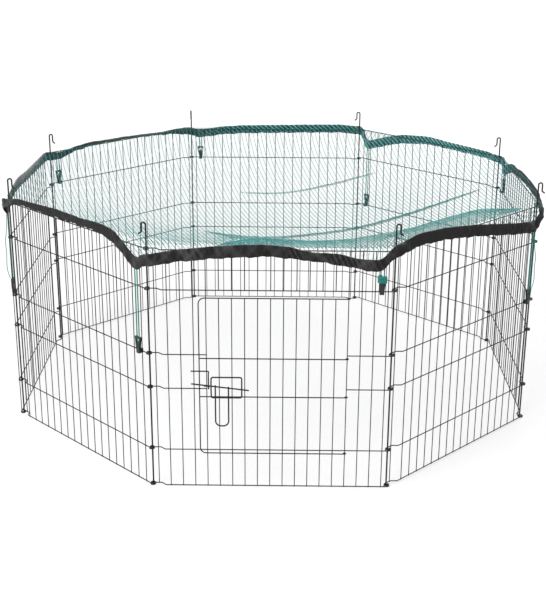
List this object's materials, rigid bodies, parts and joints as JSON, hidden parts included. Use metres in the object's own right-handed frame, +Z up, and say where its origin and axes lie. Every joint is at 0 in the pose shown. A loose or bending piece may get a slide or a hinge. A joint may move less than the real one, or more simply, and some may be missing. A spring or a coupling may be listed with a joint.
{
  "type": "folding pet run",
  "caption": "Eight-sided folding wire run for small pets, with hinge rods, a latched wire door and a net roof tied down by a cloth hem.",
  "frame": {"origin": "on the floor, at the middle of the ring of hinge rods", "axes": "+Z up, -Y out of the door's side, +X to the right seen from the door's side"},
  "size_m": [1.4079, 1.4175, 0.665],
  "materials": {
    "frame_wire": "satin",
    "latch_wire": "satin",
    "net": "matte",
    "hem": "matte",
    "cord": "matte",
    "clip": "satin"
  },
  "bodies": {
    "panel_front": {"panel_front": "frame_wire", "latch_keeper": "latch_wire"},
    "panel_front_right": {"panel_front_right": "frame_wire"},
    "panel_right": {"panel_right": "frame_wire"},
    "panel_back_right": {"panel_back_right": "frame_wire"},
    "panel_back": {"panel_back": "frame_wire"},
    "panel_back_left": {"panel_back_left": "frame_wire"},
    "panel_left": {"panel_left": "frame_wire"},
    "panel_front_left": {"panel_front_left": "frame_wire"},
    "rod_front_left": {"rod_front_left": "frame_wire"},
    "rod_front_right": {"rod_front_right": "frame_wire"},
    "rod_right_front": {"rod_right_front": "frame_wire"},
    "rod_right_back": {"rod_right_back": "frame_wire"},
    "rod_back_right": {"rod_back_right": "frame_wire"},
    "rod_back_left": {"rod_back_left": "frame_wire"},
    "rod_left_back": {"rod_left_back": "frame_wire"},
    "rod_left_front": {"rod_left_front": "frame_wire"},
    "door": {"door": "frame_wire", "latch_guide": "latch_wire"},
    "latch_bolt": {"latch_bolt": "latch_wire"},
    "latch_handle": {"latch_handle": "latch_wire"},
    "cover": {"net_roof": "net", "net_hem": "hem", "tie_wrap_front_right": "cord", "tie_cord_front_left": "cord", "tie_cord_front_right": "cord", "tie_cord_right_front": "cord", "tie_cord_right_back": "cord", "tie_cord_back_right": "cord", "tie_cord_back_left": "cord", "tie_cord_left_back": "cord", "tie_cord_left_front": "cord", "tie_clip_front_left": "clip", "tie_clip_front_right": "clip", "tie_clip_right_front": "clip", "tie_clip_right_back": "clip", "tie_clip_back_right": "clip", "tie_clip_back_left": "clip", "tie_clip_left_back": "clip", "tie_clip_left_front": "clip"}
  },
  "joints": [
    {"name": "ring_fold", "type": "hinge", "parent": "panel_right", "child": "panel_back_right", "pos_m": [0.68805, 0.285, 0.3], "axis": [0, 0, -1], "range_deg": [-123, 0], "deforming": ["net_roof", "net_hem", "tie_wrap_front_right", "tie_cord_front_left", "tie_cord_front_right", "tie_cord_right_front", "tie_cord_right_back", "tie_cord_back_right", "tie_cord_back_left", "tie_cord_left_back", "tie_cord_left_front", "tie_clip_front_left", "tie_clip_front_right", "tie_clip_right_front", "tie_clip_right_back", "tie_clip_back_right", "tie_clip_back_left", "tie_clip_left_back", "tie_clip_left_front"]},
    {"name": "fold_front_right", "type": "hinge", "parent": "panel_front", "child": "panel_front_right", "pos_m": [0.285, -0.68805, 0.3], "axis": [0, 0, -1], "range_deg": [0, 41]},
    {"name": "fold_right_front", "type": "hinge", "parent": "panel_front_right", "child": "panel_right", "pos_m": [0.68805, -0.285, 0.3], "axis": [0, 0, -1], "range_deg": [0, 41]},
    {"name": "fold_back_right", "type": "hinge", "parent": "panel_back_right", "child": "panel_back", "pos_m": [0.285, 0.68805, 0.3], "axis": [0, 0, -1], "range_deg": [0, 41]},
    {"name": "fold_front_left", "type": "hinge", "parent": "panel_front", "child": "panel_front_left", "pos_m": [-0.285, -0.68805, 0.3], "axis": [0, 0, 1], "range_deg": [0, 41]},
    {"name": "fold_left_front", "type": "hinge", "parent": "panel_front_left", "child": "panel_left", "pos_m": [-0.68805, -0.285, 0.3], "axis": [0, 0, 1], "range_deg": [-123, 0]},
    {"name": "fold_left_back", "type": "hinge", "parent": "panel_left", "child": "panel_back_left", "pos_m": [-0.68805, 0.285, 0.3], "axis": [0, 0, 1], "range_deg": [0, 41]},
    {"name": "door_swing", "type": "hinge", "parent": "panel_front", "child": "door", "pos_m": [0.18, -0.6961, 0.3], "axis": [0, 0, 1], "range_deg": [0, 155]},
    {"name": "bolt_slide", "type": "slide", "parent": "door", "child": "latch_bolt", "axis": [0.9932, 0, -0.1168], "range_m": [0, 0.045]},
    {"name": "handle_swing", "type": "hinge", "parent": "latch_bolt", "child": "latch_handle", "pos_m": [-0.115, -0.70795, 0.26788], "axis": [-0.9932, 0, 0.1168], "range_deg": [0, 160]},
    {"name": "cover_lift", "type": "slide", "parent": "panel_front", "child": "cover", "axis": [0, 0, 1], "range_m": [0, 0.4]},
    {"name": "rod_pull_front_left", "type": "slide", "parent": "panel_front_left", "child": "rod_front_left", "axis": [0, 0, 1], "range_m": [0, 0.62]},
    {"name": "rod_pull_front_right", "type": "slide", "parent": "panel_front", "child": "rod_front_right", "axis": [0, 0, 1], "range_m": [0, 0.62]},
    {"name": "rod_pull_right_front", "type": "slide", "parent": "panel_front_right", "child": "rod_right_front", "axis": [0, 0, 1], "range_m": [0, 0.62]},
    {"name": "rod_pull_right_back", "type": "slide", "parent": "panel_right", "child": "rod_right_back", "axis": [0, 0, 1], "range_m": [0, 0.62]},
    {"name": "rod_pull_back_right", "type": "slide", "parent": "panel_back_right", "child": "rod_back_right", "axis": [0, 0, 1], "range_m": [0, 0.62]},
    {"name": "rod_pull_back_left", "type": "slide", "parent": "panel_back", "child": "rod_back_left", "axis": [0, 0, 1], "range_m": [0, 0.62]},
    {"name": "rod_pull_left_back", "type": "slide", "parent": "panel_back_left", "child": "rod_left_back", "axis": [0, 0, 1], "range_m": [0, 0.62]},
    {"name": "rod_pull_left_front", "type": "slide", "parent": "panel_left", "child": "rod_left_front", "axis": [0, 0, 1], "range_m": [0, 0.62]}
  ],
  "couplings": [
    {"joint": "fold_front_right", "follows": "ring_fold", "ratio": -0.33333},
    {"joint": "fold_right_front", "follows": "ring_fold", "ratio": -0.33333},
    {"joint": "fold_back_right", "follows": "ring_fold", "ratio": -0.33333},
    {"joint": "fold_front_left", "follows": "ring_fold", "ratio": -0.33333},
    {"joint": "fold_left_front", "follows": "ring_fold", "ratio": 1},
    {"joint": "fold_left_back", "follows": "ring_fold", "ratio": -0.33333}
  ]
}
